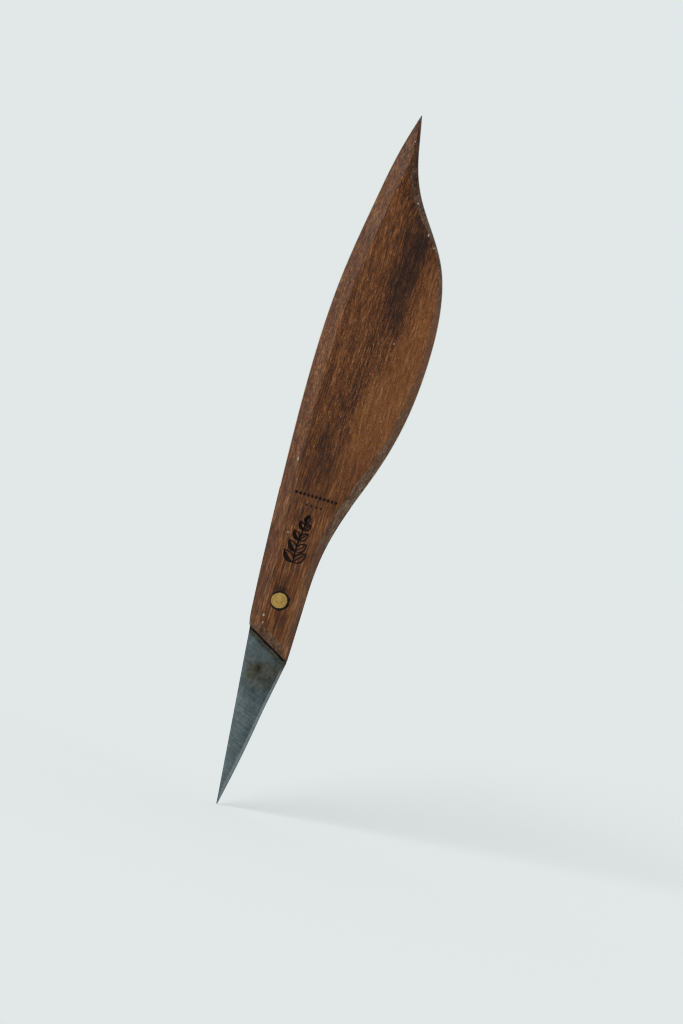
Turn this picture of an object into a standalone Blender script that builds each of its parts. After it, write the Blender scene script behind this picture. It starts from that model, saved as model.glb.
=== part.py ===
"""Carving knife for lino and clay: a slim steel blade pinned in a leaf-shaped walnut handle.

Origin at the blade's point. +Z runs up the tool to the tail of the handle, +X is the side
of the cutting edge and of the handle's swell, and -Y faces the front of the handle.
The tool is mirrored about the plane y = 0.
"""

import math

import bmesh
import bpy
import numpy as np
from mathutils import Vector

MM = 0.001

# ---- Driving dimensions, in metres --------------------------------------------------------

overall_length = 198 * MM

# Handle
wood_end_spine = 50.5 * MM  # height of the wood's sawn end at the spine side
wood_end_edge = 43.5 * MM  # and at the side of the cutting edge: the end is cut on the slant
neck_half_thickness = 5.2 * MM
palm_half_thickness = 6.2 * MM
tail_half_thickness = 0.9 * MM
neck_top = 66 * MM  # the neck is parallel up to here, then swells to the palm
palm_start = 92 * MM
palm_end = 158 * MM  # above it both faces taper to the tail
end_facet_depth = 1.9 * MM  # both faces are sanded down towards the sawn end
end_facet_run = (4.2 * MM, 2.3 * MM)  # how far up, at the spine side and at the edge side
end_corner = (0.32 * MM, 4 * MM)  # the spine side draws in by this much at its end
spine_chamfer = (3.9 * MM, 2.3 * MM)  # width across the face, depth into the thickness
edge_chamfer = (2.3 * MM, 2.9 * MM)
chamfer_crown = 0.22 * MM  # how far hand sanding leaves a chamfer bulging

# Height and place across of points on the handle's two outlines, in millimetres
spine_outline_mm = (
    (44, -5.2),
    (60, -6.45),
    (92, -8.3),
    (128, -9.4),
    (150, -8.45),
    (172, -5.55),
    (188, -2.75),
    (198, -0.1),
)
edge_outline_mm = (
    (44, 7.35),
    (58, 7.45),
    (73, 8.1),
    (86, 11.0),
    (100, 15.85),
    (114, 19.45),
    (133, 21.15),
    (151, 19.75),
    (161, 16.4),
    (169, 11.3),
    (176, 6.6),
    (184, 3.2),
    (192, 1.35),
    (198, 0.1),
)

# Blade
heel_height = 42.8 * MM  # where the cutting edge ends, just under the wood
heel_reach = 7.28 * MM
belly = 0.27 * MM  # how far the edge curves out near the point
belly_top = 28 * MM
spine_slope = 0.1028  # how far the spine leans away from the axis, per unit of height
point_width = 0.12 * MM
stock_thickness = 1.9 * MM
flank_at_bevel = 1.55 * MM  # thickness where the edge bevel starts, at the heel
point_share = 0.42  # thickness left at the point, as a share of the heel's
edge_thickness = 0.12 * MM
spine_softening = 0.2 * MM
bevel_start = 40.8 * MM
bevel_at_heel = 0.64 * MM
bevel_at_point = 0.98 * MM
bevel_share = 0.62  # near the point the bevel takes at most this share of the width
spine_shoulder = 51 * MM  # the straight spine runs on to here, just inside the wood
edge_shoulder = 47.5 * MM
edge_shoulder_x = 6.7 * MM
tang_top = 70 * MM
tang_end_x = (-3.3 * MM, 4.3 * MM)  # spine side and edge side
tang_end_inset = 1.3 * MM  # how much its rounded corners take off each side of the end

# Slot, pin and adhesive
kerf_thickness = 2.4 * MM
kerf_top = 73 * MM
pin_diameter = 4.76 * MM  # 3/16 inch brass rod
pin_x, pin_z = 0.54 * MM, 59.4 * MM
pin_hole_diameter = 5.2 * MM  # drilled oversize, so the pin sits to one side of it
pin_hole_shift = (0.17 * MM, -0.02 * MM)
pin_recess = 0.04 * MM  # the pin's ends lie this far under the wood
joint_gap = 0.05 * MM  # clearance between pieces that touch

handle_stations = 72
facet_stations = 8
blade_stations = 34
chamfer_steps = 3
round_sides = 48


# ---- Shapes --------------------------------------------------------------------------------


def smooth_curve(points_mm):
    """A natural cubic spline through (height, across) points, as a function in metres."""
    heights, across = (np.array(column, float) * MM for column in zip(*points_mm))
    steps = np.diff(heights)
    count = len(heights)
    system = np.eye(count)
    bends = np.zeros(count)
    for i in range(1, count - 1):
        system[i, i - 1 : i + 2] = steps[i - 1], 2 * (steps[i - 1] + steps[i]), steps[i]
        rise_after = (across[i + 1] - across[i]) / steps[i]
        rise_before = (across[i] - across[i - 1]) / steps[i - 1]
        bends[i] = 6 * (rise_after - rise_before)
    curvature = np.linalg.solve(system, bends)

    def at(height):
        i = int(np.clip(np.searchsorted(heights, height) - 1, 0, count - 2))
        step, above, below = steps[i], heights[i + 1] - height, height - heights[i]
        bend = (curvature[i] * above**3 + curvature[i + 1] * below**3) / (6 * step)
        start = (across[i] / step - curvature[i] * step / 6) * above
        end = (across[i + 1] / step - curvature[i + 1] * step / 6) * below
        return bend + start + end

    return at


spine_outline = smooth_curve(spine_outline_mm)
edge_outline = smooth_curve(edge_outline_mm)


def ease(value, low, high):
    """0 at low, 1 at high, and a smooth step between them."""
    share = min(max((value - low) / (high - low), 0), 1)
    return share * share * (3 - 2 * share)


def handle_half_thickness(height):
    """Half the handle's thickness, leaving out the facets at its sawn end."""
    swell = palm_half_thickness - neck_half_thickness
    half = neck_half_thickness + swell * ease(height, neck_top, palm_start)
    tail = min(max((height - palm_end) / (overall_length - palm_end), 0), 1)
    return half + (tail_half_thickness - palm_half_thickness) * tail**1.7


def facet_limit(across, above_end):
    """What an end facet leaves of the half thickness; across runs from the spine, 0, to 1."""
    run = end_facet_run[0] + (end_facet_run[1] - end_facet_run[0]) * across
    return neck_half_thickness - end_facet_depth * (1 - above_end / run)


def chamfer(width, depth, start_x, half, outward):
    """Points of one front chamfer, from the handle's side up to its face."""
    points = []
    for i in range(chamfer_steps + 1):
        share = i / chamfer_steps
        bulge = chamfer_crown * 4 * share * (1 - share) * min(depth / edge_chamfer[1], 1)
        inset = width * share - bulge * depth / math.hypot(width, depth)
        rise = depth * share + bulge * width / math.hypot(width, depth)
        points.append((start_x - outward * inset, half - depth + min(rise, depth)))
    return points


def handle_section(share):
    """One closed ring of the handle: share 0 is the slanted sawn end, and 1 the tail."""
    spine_z = wood_end_spine + (overall_length - wood_end_spine) * share
    edge_z = wood_end_edge + (overall_length - wood_end_edge) * share
    spine_x, edge_x = spine_outline(spine_z), edge_outline(edge_z)
    width = edge_x - spine_x
    above_end = (spine_z - wood_end_spine + edge_z - wood_end_edge) / 2
    half = handle_half_thickness((spine_z + edge_z) / 2)
    corner = end_corner[0] * max(1 - above_end / end_corner[1], 0) ** 2
    spine_x, width = spine_x + corner, width - corner
    slope = (edge_outline(edge_z + MM / 2) - edge_outline(edge_z - MM / 2)) / MM
    steepness = math.hypot(1, slope)
    wanted = spine_chamfer[0] + edge_chamfer[0] * steepness
    fit = min(1, 0.94 * width / wanted)
    low = min(half / palm_half_thickness, 1)
    spine_side = chamfer(spine_chamfer[0] * fit, spine_chamfer[1] * low, 0, half, -1)
    edge_side = chamfer(
        edge_chamfer[0] * steepness * fit, edge_chamfer[1] * low, width, half, 1
    )
    front = [(x, -y) for x, y in spine_side + edge_side[::-1]]
    if above_end < max(end_facet_run):
        front = [(x, max(y, -facet_limit(x / width, above_end))) for x, y in front]
    back = [(x, -y) for x, y in reversed(front)]
    return [
        Vector((spine_x + x, y, spine_z + (edge_z - spine_z) * x / width))
        for x, y in front + back
    ]


def blade_outline(height):
    """(spine, edge) places across the blade and its tang at a height."""
    low, high = tang_end_x
    corner = tang_top - tang_end_inset
    spine_heights = (0, spine_shoulder, corner, tang_top)
    spine = (-point_width / 2, -spine_slope * spine_shoulder, low, low + tang_end_inset)
    edge_heights = (0, heel_height, edge_shoulder, corner, tang_top)
    edge = (point_width / 2, heel_reach, edge_shoulder_x, high, high - tang_end_inset)
    curve = belly * math.sin(math.pi * min(height / belly_top, 1))
    edge_x = np.interp(height, edge_heights, edge) + curve
    return np.interp(height, spine_heights, spine), edge_x


def blade_section(height, grow):
    """One closed ring of the blade, made larger by grow on every side."""
    spine_x, edge_x = blade_outline(height)
    spine_x, edge_x = spine_x - grow, edge_x + grow
    width = edge_x - spine_x
    taper = point_share + (1 - point_share) * min(height / heel_height, 1)
    sharp = 1 - ease(height, bevel_start, heel_height)
    toward_point = 1 - min(height / bevel_start, 1)
    bevel = bevel_at_heel + (bevel_at_point - bevel_at_heel) * toward_point
    bevel = max(min(bevel * sharp, bevel_share * width), spine_softening)
    spine_half = stock_thickness * taper / 2 + grow
    flank = stock_thickness + (flank_at_bevel - stock_thickness) * sharp
    flank_half = flank * taper / 2 + grow
    edge_half = edge_thickness / 2 + (flank_half - spine_softening / 2) * (1 - sharp) + grow
    soft = min(spine_softening, width / 4)
    front = [
        (spine_x, soft / 2 - spine_half),
        (spine_x + soft, -spine_half),
        (edge_x - bevel, -flank_half),
        (edge_x, -edge_half),
    ]
    back = [(x, -y) for x, y in reversed(front)]
    return [Vector((x, y, height)) for x, y in front + back]


# ---- Objects -------------------------------------------------------------------------------


def clear_scene():
    for thing in list(bpy.data.objects):
        bpy.data.objects.remove(thing)


def new_collection(name):
    collection = bpy.data.collections.new(name)
    bpy.context.scene.collection.children.link(collection)
    return collection


def principled(name, color, roughness, metallic):
    material = bpy.data.materials.new(name)
    material.use_nodes = True
    shader = material.node_tree.nodes["Principled BSDF"]
    shader.inputs["Base Color"].default_value = (*color, 1)
    shader.inputs["Roughness"].default_value = roughness
    shader.inputs["Metallic"].default_value = metallic
    return material


def loft(name, rings, collection):
    """A closed solid through rings of equally many points, with a flat cap on each end."""
    made = bmesh.new()
    loops = [[made.verts.new(point) for point in ring] for ring in rings]
    for lower, upper in zip(loops, loops[1:]):
        for i in range(len(lower)):
            j = (i + 1) % len(lower)
            made.faces.new((lower[i], lower[j], upper[j], upper[i]))
    made.faces.new(loops[0][::-1])
    made.faces.new(loops[-1])
    bmesh.ops.recalc_face_normals(made, faces=made.faces)
    mesh = bpy.data.meshes.new(name)
    made.to_mesh(mesh)
    made.free()
    solid = bpy.data.objects.new(name, mesh)
    collection.objects.link(solid)
    return solid


def cylinder(name, diameter, length, center, collection):
    """A cylinder along Y."""
    made = bmesh.new()
    bmesh.ops.create_cone(
        made,
        cap_ends=True,
        segments=round_sides,
        radius1=diameter / 2,
        radius2=diameter / 2,
        depth=length,
    )
    mesh = bpy.data.meshes.new(name)
    made.to_mesh(mesh)
    made.free()
    solid = bpy.data.objects.new(name, mesh)
    solid.rotation_euler = (math.pi / 2, 0, 0)
    solid.location = center
    collection.objects.link(solid)
    return solid


def box(name, low, high, collection):
    """A box between two corners."""
    made = bmesh.new()
    bmesh.ops.create_cube(made, size=1)
    size = Vector(high) - Vector(low)
    bmesh.ops.scale(made, vec=size, verts=made.verts)
    mesh = bpy.data.meshes.new(name)
    made.to_mesh(mesh)
    made.free()
    solid = bpy.data.objects.new(name, mesh)
    solid.location = (Vector(low) + Vector(high)) / 2
    collection.objects.link(solid)
    return solid


def helper(solid):
    """Marks an object as a cutter, which is no part of the tool."""
    solid.hide_render = True
    solid.display_type = "WIRE"
    return solid


def combine(solid, operation, other):
    modifier = solid.modifiers.new(f"{operation.lower()} {other.name}", "BOOLEAN")
    modifier.operation = operation
    modifier.object = other


def shade_smooth(solid, angle_degrees=28):
    solid.data.shade_smooth()
    solid.data.set_sharp_from_angle(angle=math.radians(angle_degrees))


def handle_blank(name, collection):
    """The handle before it is slotted and drilled."""
    run = (overall_length - wood_end_spine + overall_length - wood_end_edge) / 2
    facet_top = max(end_facet_run) / run
    facet_shares = np.linspace(0, facet_top, facet_stations)
    shares = [*facet_shares, *np.linspace(facet_top, 1, handle_stations)[1:]]
    return loft(name, [handle_section(share) for share in shares], collection)


def blade_blank(name, collection, grow=0):
    """The blade and tang before the pin hole. Grown, it is the room they need in the slot."""
    end = tang_top - tang_end_inset
    heights = [
        *np.linspace(0, bevel_start, blade_stations),
        *np.linspace(bevel_start, heel_height, 5)[1:],
        edge_shoulder,
        spine_shoulder,
        end,
        tang_top - tang_end_inset * 0.45,
        tang_top + grow,
    ]
    return loft(name, [blade_section(height, grow) for height in heights], collection)


def slot_room(name, inset, collection):
    """The sawn slot: open at the wood's end and along both sides of the neck."""
    half = kerf_thickness / 2 - inset
    reach = 4 * heel_reach
    low = (-reach, -half, wood_end_edge / 2)
    return box(name, low, (reach, half, kerf_top - inset), collection)


def build_handle(parts, cutters, walnut):
    handle = handle_blank("handle", parts)
    shade_smooth(handle)
    combine(handle, "DIFFERENCE", helper(slot_room("slot_cutter", 0, cutters)))
    center = (pin_x + pin_hole_shift[0], 0, pin_z + pin_hole_shift[1])
    through = 4 * palm_half_thickness
    drill = cylinder("pin_hole_cutter", pin_hole_diameter, through, center, cutters)
    combine(handle, "DIFFERENCE", helper(drill))
    handle.data.materials.append(walnut)


def build_blade(parts, cutters, steel):
    blade = blade_blank("blade", parts)
    shade_smooth(blade, 12)
    through = 4 * palm_half_thickness
    clearance = pin_diameter + 2 * joint_gap
    drill = cylinder("tang_hole_cutter", clearance, through, (pin_x, 0, pin_z), cutters)
    combine(blade, "DIFFERENCE", helper(drill))
    blade.data.materials.append(steel)


def build_pin(parts, brass):
    length = 2 * (neck_half_thickness - pin_recess)
    pin = cylinder("rivet_pin", pin_diameter, length, (pin_x, 0, pin_z), parts)
    shade_smooth(pin)
    pin.data.materials.append(brass)


def build_tang_adhesive(parts, cutters, adhesive):
    """Cured adhesive that fills the slot round the tang, flush with the wood."""
    bed = handle_blank("tang_adhesive", parts)
    combine(bed, "INTERSECT", helper(slot_room("slot_filling", joint_gap, cutters)))
    combine(bed, "DIFFERENCE", helper(blade_blank("tang_room", cutters, joint_gap)))
    combine(bed, "DIFFERENCE", bpy.data.objects["tang_hole_cutter"])
    bed.data.materials.append(adhesive)


def build_pin_adhesive(parts, cutters, adhesive):
    """The collar of adhesive round the pin in each cheek of the slot."""
    inner = kerf_thickness / 2
    outer = neck_half_thickness - pin_recess
    core = helper(
        cylinder(
            "collar_core",
            pin_diameter + 2 * joint_gap,
            4 * palm_half_thickness,
            (pin_x, 0, pin_z),
            cutters,
        )
    )
    for name, side in (("pin_adhesive_front", -1), ("pin_adhesive_back", 1)):
        center = (
            pin_x + pin_hole_shift[0],
            side * (inner + outer) / 2,
            pin_z + pin_hole_shift[1],
        )
        diameter = pin_hole_diameter - 2 * joint_gap
        collar = cylinder(name, diameter, outer - inner, center, parts)
        shade_smooth(collar)
        combine(collar, "DIFFERENCE", core)
        collar.data.materials.append(adhesive)


def main():
    clear_scene()
    parts = new_collection("lino_cutter")
    cutters = new_collection("cutters")
    walnut = principled("oiled_walnut", (0.16, 0.075, 0.04), 0.55, 0)
    steel = principled("ground_steel", (0.2, 0.23, 0.26), 0.4, 1)
    brass = principled("filed_brass", (0.55, 0.38, 0.12), 0.45, 1)
    adhesive = principled("dark_adhesive", (0.01, 0.01, 0.01), 0.4, 0)
    build_handle(parts, cutters, walnut)
    build_blade(parts, cutters, steel)
    build_pin(parts, brass)
    build_tang_adhesive(parts, cutters, adhesive)
    build_pin_adhesive(parts, cutters, adhesive)


main()
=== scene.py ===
"""The looks of the lino cutter: oiled walnut, dark ground steel, a brass pin and cured adhesive."""

import math
import random

import bmesh
import bpy
import numpy as np
from mathutils import Matrix, Vector


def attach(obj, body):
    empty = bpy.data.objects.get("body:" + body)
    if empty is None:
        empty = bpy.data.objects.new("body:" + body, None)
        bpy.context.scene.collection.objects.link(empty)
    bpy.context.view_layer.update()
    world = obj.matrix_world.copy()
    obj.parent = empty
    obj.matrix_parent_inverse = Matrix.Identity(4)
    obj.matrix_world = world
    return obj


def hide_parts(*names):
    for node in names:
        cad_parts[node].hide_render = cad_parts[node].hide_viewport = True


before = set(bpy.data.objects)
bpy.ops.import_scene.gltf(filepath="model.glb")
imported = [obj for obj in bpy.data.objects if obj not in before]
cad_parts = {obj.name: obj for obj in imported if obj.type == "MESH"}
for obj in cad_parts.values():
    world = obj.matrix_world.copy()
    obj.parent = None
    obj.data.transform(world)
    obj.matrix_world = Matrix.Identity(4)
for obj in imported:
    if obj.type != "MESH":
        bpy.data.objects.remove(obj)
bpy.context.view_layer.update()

MM = 0.001

# ---- The handle's dimensions, as in the CAD -------------------------------------------------

overall_length = 198 * MM
wood_end_spine = 50.5 * MM
wood_end_edge = 43.5 * MM
neck_half_thickness = 5.2 * MM
palm_half_thickness = 6.2 * MM
tail_half_thickness = 0.9 * MM
tail_power = 1.7  # how late the tail thins: 1 would be a straight taper
neck_top = 66 * MM
palm_start = 92 * MM
palm_end = 158 * MM
end_facet_depth = 1.9 * MM
end_facet_run = (4.2 * MM, 2.3 * MM)  # at the spine side and at the edge side
end_corner = (0.32 * MM, 4 * MM)  # how far the spine side draws in at the end, and over what length
spine_chamfer = (3.9 * MM, 2.3 * MM)  # across the face, and down the side
edge_chamfer_depth = 2.9 * MM
kerf_thickness = 2.4 * MM
kerf_top = 73 * MM
pin_diameter = 4.76 * MM
pin_x, pin_z = 0.54 * MM, 59.4 * MM
pin_hole_diameter = 5.2 * MM
pin_hole_shift = (0.17 * MM, -0.02 * MM)
pin_recess = 0.04 * MM
spine_slope = 0.1028  # the blade's spine leans by this much across for each metre up

# Height and place across of points on the two outlines, in millimetres
spine_outline_mm = (
    (44, -5.2),
    (60, -6.45),
    (92, -8.3),
    (128, -9.4),
    (150, -8.45),
    (172, -5.55),
    (188, -2.75),
    (198, -0.1),
)
edge_outline_mm = (
    (44, 7.35),
    (58, 7.45),
    (73, 8.1),
    (86, 11.0),
    (100, 15.85),
    (114, 19.45),
    (133, 21.15),
    (151, 19.75),
    (161, 16.4),
    (169, 11.3),
    (176, 6.6),
    (184, 3.2),
    (192, 1.35),
    (198, 0.1),
)
# The hand-sanded chamfer on the edge side: height and true width, in millimetres
edge_chamfer_mm = (
    (44, 2.2),
    (70, 2.2),
    (110, 2.4),
    (140, 1.9),
    (157, 1.4),
    (165, 0.9),
    (171, 1.8),
    (185, 2.0),
    (198, 1.6),
)

# ---- Dimensions of the finish ---------------------------------------------------------------

outline_radius = 0.55 * MM  # rounding along the two outlines
spine_ridge_radius = 1.1 * MM  # the softer ridge beside the spine chamfer
edge_ridge_radius = 0.45 * MM
spine_waver = 0.05  # how much the sanded chamfers' widths wander, as a share
edge_waver = 0.06
edge_typical_width = 2.3 * MM  # where the edge chamfer is narrower, it is shallower too
rim_radius = 0.2 * MM
facet_softness = 0.09 * MM  # how far the end facets' ridges are blended
handle_stations = 300
facet_stations = 40
rim_shares = (0, 0.08, 0.25, 0.5, 1)  # the stations that round the rim
facet_start = 0.45 * MM
facet_top = 7 * MM  # the stations lie closer together up to here
bead_radius = 0.95 * MM
bead_inset = 0.2 * MM  # from the spine side of the sawn end
bead_run = 12.2 * MM
bead_stations = 60
bead_sunk = 0.03 * MM  # into the steel
bead_lap = 0.02 * MM  # into the wood
# The dark drop down the blade's spine, below the wood's corner, is painted shade
spine_shade_length = 2.1 * MM
spine_shade_width = 0.24 * MM  # half of it
spine_shade_cover = 0.18 * MM  # how far it stands out of the blade's faces
blade_half_thickness = 0.95 * MM
pin_rounding = 0.16 * MM
pin_sides = 96
smear_lap = (0.04 * MM, 0.27 * MM)  # how far the adhesive laps over the pin: least and most
smear_reach = (0.16 * MM, 0.56 * MM)  # and how far it reaches beyond the pin
smear_height = 0.03 * MM  # how far it stands out of the wood
smear_angle = math.radians(-8)  # where it is widest
smear_points = 96
smear_rim = 0.04 * MM  # its outer rim slopes down over this width
smear_sunk = 0.02 * MM  # how far its inner rim sinks into the pin
smear_root = (0.01 * MM, 0.04 * MM)  # its root beside the pin: from and to this far out
smear_root_depth = 0.4 * MM

# ---- The burned ornament, in millimetres on the front face ----------------------------------

mark_proud = 0.02 * MM
mark_sunk = 0.08 * MM
stem_mm = ((1.1, 69.3), (0.9, 73.5), (1.0, 78.0), (1.6, 82.2))
leaf_pairs = 4
leaf_length_mm = 4.4
leaf_share = 0.26  # half of a leaf's width, as a share of its length
line_width_mm = 0.46
diamond_rows_mm = (  # from, to, height, how many diamonds, and their width
    (-3.4, 7.9, 89.6, 11, 0.95),
    (0.2, 4.4, 86.9, 4, 0.7),
)

# Lines that the wood's colour follows up the palm, in millimetres: height and place across.
# The heart's places have profile_offset added, because a profile's results start at 0.
profile_offset = 5
profile_span = 200  # profiles run from 0 to this, both in height and in result
heart_line_mm = (
    (95, 5),
    (110, 6),
    (120, 8),
    (130, 9),
    (142, 13),
    (152, 12.6),
    (160, 14),
    (167, 13.8),
    (173, 11.6),
    (182, 9),
    (192, 7),
)
heart_depth = (  # height, and how dark the heart is, in 200ths
    (80, 0),
    (92, 18),
    (100, 44),
    (110, 27),
    (120, 27),
    (130, 16),
    (140, 44),
    (150, 80),
    (160, 86),
    (172, 54),
    (182, 44),
    (192, 30),
)
pale_line_mm = (
    (95, 6),
    (110, 6),
    (120, 6.2),
    (130, 10),
    (140, 11),
    (150, 13.6),
    (160, 15),
)
# Light specks on the front, in millimetres: place across, height, width and length
dust_specks = (
    (10.6, 136, 0.34, 0.4),
    (-5.6, 98.3, 0.35, 1.2),
    (-2.5, 78.2, 0.4, 0.4),
    (-2.4, 54.4, 0.5, 0.6),
    (-2.1, 52.4, 0.3, 0.5),
    (13.2, 114.6, 0.3, 0.3),
    (0.4, 190.7, 0.3, 0.4),
    (5.9, 174.6, 0.4, 0.5),
    (11.2, 167.2, 0.4, 0.9),
    (13.7, 164.2, 0.5, 0.4),
)
# Darker and lighter places in the wood: as above, and how much they change its tone. The rows marked
# below are painted shade and painted highlights
tone_and_painted_light_spots = (
    (0.2, 62.4, 3.0, 1.5, -0.5),
    (0.8, 64.5, 2.0, 4.5, -0.24),
    (1.6, 55.2, 1.6, 4.5, -0.2),
    (5.2, 60.0, 1.8, 12.0, 0.32),
    # painted shade: these two rows darken the end facet, which faces down
    (-2.6, 49.6, 2.8, 1.6, -0.3),
    (1.6, 47.6, 2.8, 2.2, -0.2),
    # painted highlight: these two rows lighten the ridge where the end facet meets the edge chamfer
    (5.7, 47.6, 1.4, 4.0, 0.22),
    (6.3, 46.2, 0.5, 2.4, 0.55),
    (-4.0, 119.0, 2.0, 9.0, -0.12),
    (3.2, 54.0, 2.2, 5.0, -0.12),
    (5.4, 82.0, 1.8, 12.0, 0.1),
    # painted highlight on the spine chamfer near the tail
    (-5, 172, 2.0, 7.0, 0.16),
    (0, 93, 1.4, 2.6, 0.13),
)

# ---- Camera ---------------------------------------------------------------------------------

frame_height = 282.4 * MM  # what the picture takes in at the tool, from bottom to top
camera_distance = 1.2
camera_elevation = math.radians(3.5)
tool_lean = math.radians(16.63)
look_at = Vector((10.0 * MM, 0, 87.36 * MM))
sensor_height = 36

# ---- Room -----------------------------------------------------------------------------------

backdrop_color = (0.755, 0.807, 0.8, 1)
room_color = (0.94, 0.98, 1, 1)
room_front = 0.08  # the room light's strength in front of the tool
room_sides = 0.68  # and beside and behind it
room_right = 0.85  # how much of its light is left at the far right
light_size = 0.6
lights = (  # name, place from the point looked at, power in watts and colour
    ("key", (-0.47, -0.72, 0.52), 6.5, (1, 0.99, 0.97)),
    ("window", (-0.86, -0.48, 0.1), 1.4, (0.97, 0.99, 1)),
    ("fill", (0.8, -0.35, 0.2), 1.5, (1, 0.99, 0.98)),
)
floor_radius = 1.5
floor_drop = 0.2 * MM  # the floor lies just under the blade's point


# ---- Shapes ---------------------------------------------------------------------------------


def smooth_curve(points_mm):
    """A natural cubic spline through (height, across) points, as a function in metres."""
    heights, across = (np.array(column, float) * MM for column in zip(*points_mm))
    steps = np.diff(heights)
    count = len(heights)
    system = np.eye(count)
    bends = np.zeros(count)
    for i in range(1, count - 1):
        system[i, i - 1 : i + 2] = steps[i - 1], 2 * (steps[i - 1] + steps[i]), steps[i]
        rise_after = (across[i + 1] - across[i]) / steps[i]
        rise_before = (across[i] - across[i - 1]) / steps[i - 1]
        bends[i] = 6 * (rise_after - rise_before)
    curvature = np.linalg.solve(system, bends)

    def at(height):
        i = int(np.clip(np.searchsorted(heights, height) - 1, 0, count - 2))
        step, above, below = steps[i], heights[i + 1] - height, height - heights[i]
        bend = (curvature[i] * above**3 + curvature[i + 1] * below**3) / (6 * step)
        start = (across[i] / step - curvature[i] * step / 6) * above
        end = (across[i + 1] / step - curvature[i + 1] * step / 6) * below
        return bend + start + end

    return at


spine_outline = smooth_curve(spine_outline_mm)
edge_outline = smooth_curve(edge_outline_mm)
edge_chamfer_width = smooth_curve(edge_chamfer_mm)
spine_end_x = spine_outline(wood_end_spine) + end_corner[0]
end_slope = (wood_end_edge - wood_end_spine) / (edge_outline(wood_end_edge) - spine_end_x)


def ease(value, low, high):
    """0 at low, 1 at high, and a smooth step between them."""
    share = min(max((value - low) / (high - low), 0), 1)
    return share * share * (3 - 2 * share)


def soft_ramp(value, softness):
    """About max(value, 0), with its corner rounded."""
    return softness * math.log1p(math.exp(min(value / softness, 50)))


def wander(height, lengths, phase):
    """A slow wave between -1 and 1, for lines that were sanded by hand."""
    waves = [math.sin(math.tau * height / length + phase * (i + 1)) for i, length in enumerate(lengths)]
    return sum(waves) / len(waves)


def handle_half_thickness(height):
    """Half the handle's thickness, leaving out the facets at its sawn end."""
    swell = palm_half_thickness - neck_half_thickness
    half = neck_half_thickness + swell * ease(height, neck_top, palm_start)
    tail = min(max((height - palm_end) / (overall_length - palm_end), 0), 1)
    return half + (tail_half_thickness - palm_half_thickness) * tail**tail_power


def faceted(depth, across, above_end):
    """A distance from the middle plane, cut back softly to what the end facet leaves."""
    run = end_facet_run[0] + (end_facet_run[1] - end_facet_run[0]) * across
    limit = neck_half_thickness - end_facet_depth * (1 - above_end / run)
    kept = abs(depth) - soft_ramp(abs(depth) - limit, facet_softness)
    return math.copysign(kept, depth)


def rounded(corner, before, after, radius, steps):
    """Points that round a corner between its two neighbours."""
    to_before, to_after = before - corner, after - corner
    turn = math.pi - to_before.angle(to_after)
    reach = radius * math.tan(turn / 2)
    reach = min(reach, 0.48 * to_before.length, 0.48 * to_after.length)
    start = corner + to_before.normalized() * reach
    end = corner + to_after.normalized() * reach
    points = []
    for i in range(steps):
        share = i / (steps - 1)
        points.append(
            start * (1 - share) ** 2 + corner * 2 * share * (1 - share) + end * share**2
        )
    return points


def divided(start, end, count):
    """Points strictly between two others."""
    return [start.lerp(end, (i + 1) / (count + 1)) for i in range(count)]


def half_ring(width, half, spine_depth, edge_depth, edge_width, spine_width):
    """The front half of a section, from the spine side's middle to the edge side's."""
    corners = [
        Vector((0, 0)),
        Vector((0, spine_depth - half)),
        Vector((spine_width, -half)),
        Vector((width - edge_width, -half)),
        Vector((width, edge_depth - half)),
        Vector((width, 0)),
    ]
    radii = (outline_radius, spine_ridge_radius, edge_ridge_radius, outline_radius)
    arc_steps = (6, 9, 7, 6)
    between = (3, 4, 16, 3, 3)
    points = [corners[0]]
    for i in range(4):
        arc = rounded(corners[i + 1], corners[i], corners[i + 2], radii[i], arc_steps[i])
        points += divided(points[-1], arc[0], between[i]) + arc
    return points + divided(points[-1], corners[5], between[4]) + [corners[5]]


def station(share):
    """What one slanted station of the handle measures: share 0 is the sawn end, 1 the tail."""
    spine_z = wood_end_spine + (overall_length - wood_end_spine) * share
    edge_z = wood_end_edge + (overall_length - wood_end_edge) * share
    above_end = (spine_z - wood_end_spine + edge_z - wood_end_edge) / 2
    corner = end_corner[0] * max(1 - above_end / end_corner[1], 0) ** 2
    spine_x = spine_outline(spine_z) + corner
    edge_x = edge_outline(edge_z)
    half = handle_half_thickness((spine_z + edge_z) / 2)
    return spine_x, spine_z, edge_x, edge_z, half, above_end


def handle_section(share):
    """One closed ring of the finished handle."""
    spine_x, spine_z, edge_x, edge_z, half, above_end = station(share)
    rim = rim_radius - math.sqrt(rim_radius**2 - max(rim_radius - above_end, 0) ** 2)
    slope = (edge_outline(edge_z + MM / 2) - edge_outline(edge_z - MM / 2)) / MM
    slant = edge_z - spine_z
    full_width = edge_x - spine_x
    width = full_width - 2 * rim
    edge_width = edge_chamfer_width(edge_z) * math.hypot(1, slope)
    edge_width *= 1 + edge_waver * wander(edge_z, (23 * MM, 9.7 * MM), 1.3)
    spine_width = spine_chamfer[0]
    spine_width *= 1 + spine_waver * wander(spine_z, (31 * MM, 13 * MM), 0.6)
    fit = min(1, 0.94 * width / (spine_width + edge_width))
    low = min(half / palm_half_thickness, 1)
    narrow = min(edge_width / (edge_typical_width * math.hypot(1, slope)), 1)
    front = half_ring(
        width,
        half - rim,
        spine_chamfer[1] * low,
        edge_chamfer_depth * low * narrow,
        edge_width * fit,
        spine_width * fit,
    )
    back = [Vector((p.x, -p.y)) for p in front[-2:0:-1]]
    ring = []
    for p in front + back:
        across = (p.x + rim) / full_width
        depth = faceted(p.y, across, above_end) if above_end < facet_top else p.y
        ring.append(Vector((spine_x + rim + p.x, depth, spine_z + slant * across)))
    return ring


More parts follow.
